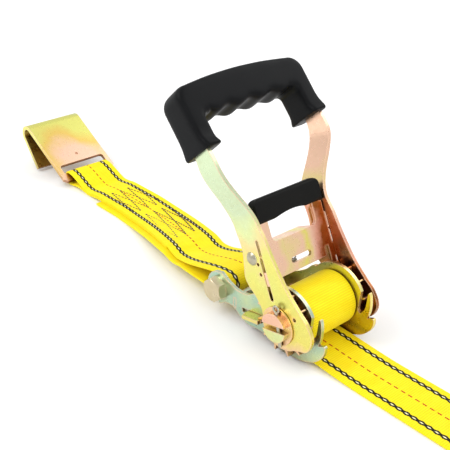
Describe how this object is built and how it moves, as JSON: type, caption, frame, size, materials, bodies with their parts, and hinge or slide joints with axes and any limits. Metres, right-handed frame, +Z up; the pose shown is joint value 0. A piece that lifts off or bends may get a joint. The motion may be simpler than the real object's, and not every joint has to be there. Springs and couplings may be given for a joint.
{
  "type": "ratchet tie down",
  "caption": "Ratchet tie down strap: wide-handle ratchet buckle with ribbed grip, sprung release lever, woven webbing and flat hooks at both ends.",
  "frame": {"origin": "point on the floor straight below the middle of the spindle axis, level with the undersides of the base plates", "axes": "+X along the long strap away from the buckle, +Y across the webbing towards the far side plates, +Z up"},
  "size_m": [0.9332, 0.1294, 0.1959],
  "materials": {
    "zinc_steel": "iridescent yellow zinc plating, satin",
    "bright_steel": "bright plated steel",
    "spring_wire": "drawn wire",
    "webbing": "woven polyester webbing",
    "moulded_grip": "moulded black plastic, satin",
    "dipped_vinyl": "dipped black vinyl"
  },
  "bodies": {
    "base": {"base_plate_near": "zinc_steel", "base_plate_far": "zinc_steel", "base_web": "zinc_steel", "anchor_bolt": "bright_steel", "anchor_washer": "bright_steel", "anchor_nut": "bright_steel", "anchor_sleeve": "zinc_steel", "lock_springs": "spring_wire", "short_strap": "webbing", "free_strap": "webbing", "storage_roll": "webbing", "tail_strap": "webbing"},
    "spindle": {"spindle_half_upper": "zinc_steel", "spindle_half_lower": "zinc_steel", "ratchet_wheel_near": "zinc_steel", "ratchet_wheel_far": "zinc_steel", "thrust_washers": "zinc_steel", "cotter_pin_near": "spring_wire", "cotter_pin_far": "spring_wire", "webbing_roll": "webbing"},
    "handle": {"handle_plate_near": "zinc_steel", "handle_plate_far": "zinc_steel", "cross_rod": "bright_steel", "grip_bar": "zinc_steel", "handle_grip": "moulded_grip", "lever_spring": "spring_wire"},
    "lever": {"release_lever": "zinc_steel", "lever_grip": "dipped_vinyl"},
    "lock": {"lock_slide": "zinc_steel"},
    "front_hook": {"flat_hook_front": "zinc_steel"},
    "rear_hook": {"flat_hook_rear": "zinc_steel"}
  },
  "joints": [
    {"name": "spindle_turn", "type": "hinge", "parent": "base", "child": "spindle", "pos_m": [0, 0, 0.0296], "axis": [0, 1, 0], "continuous": true},
    {"name": "handle_swing", "type": "hinge", "parent": "base", "child": "handle", "pos_m": [0, 0, 0.0296], "axis": [0, 1, 0], "range_deg": [-45, 120]},
    {"name": "lever_pull", "type": "slide", "parent": "handle", "child": "lever", "axis": [-0.4226, 0, 0.9063], "range_m": [0, 0.008], "stiffness_N_per_m": 900, "springref_m": -0.008, "deforming": ["lever_spring"]},
    {"name": "lock_pull", "type": "slide", "parent": "base", "child": "lock", "axis": [-0.9848, 0, -0.1736], "range_m": [0, 0.006], "stiffness_N_per_m": 900, "springref_m": -0.008, "deforming": ["lock_springs"]},
    {"name": "front_hook_swing", "type": "hinge", "parent": "base", "child": "front_hook", "pos_m": [-0.362, 0.034, 0.0076], "axis": [0, 1, 0], "range_deg": [0, 75]},
    {"name": "rear_hook_swing", "type": "hinge", "parent": "base", "child": "rear_hook", "pos_m": [0.4152, 0, 0.0076], "axis": [0, -1, 0], "range_deg": [0, 75]}
  ]
}
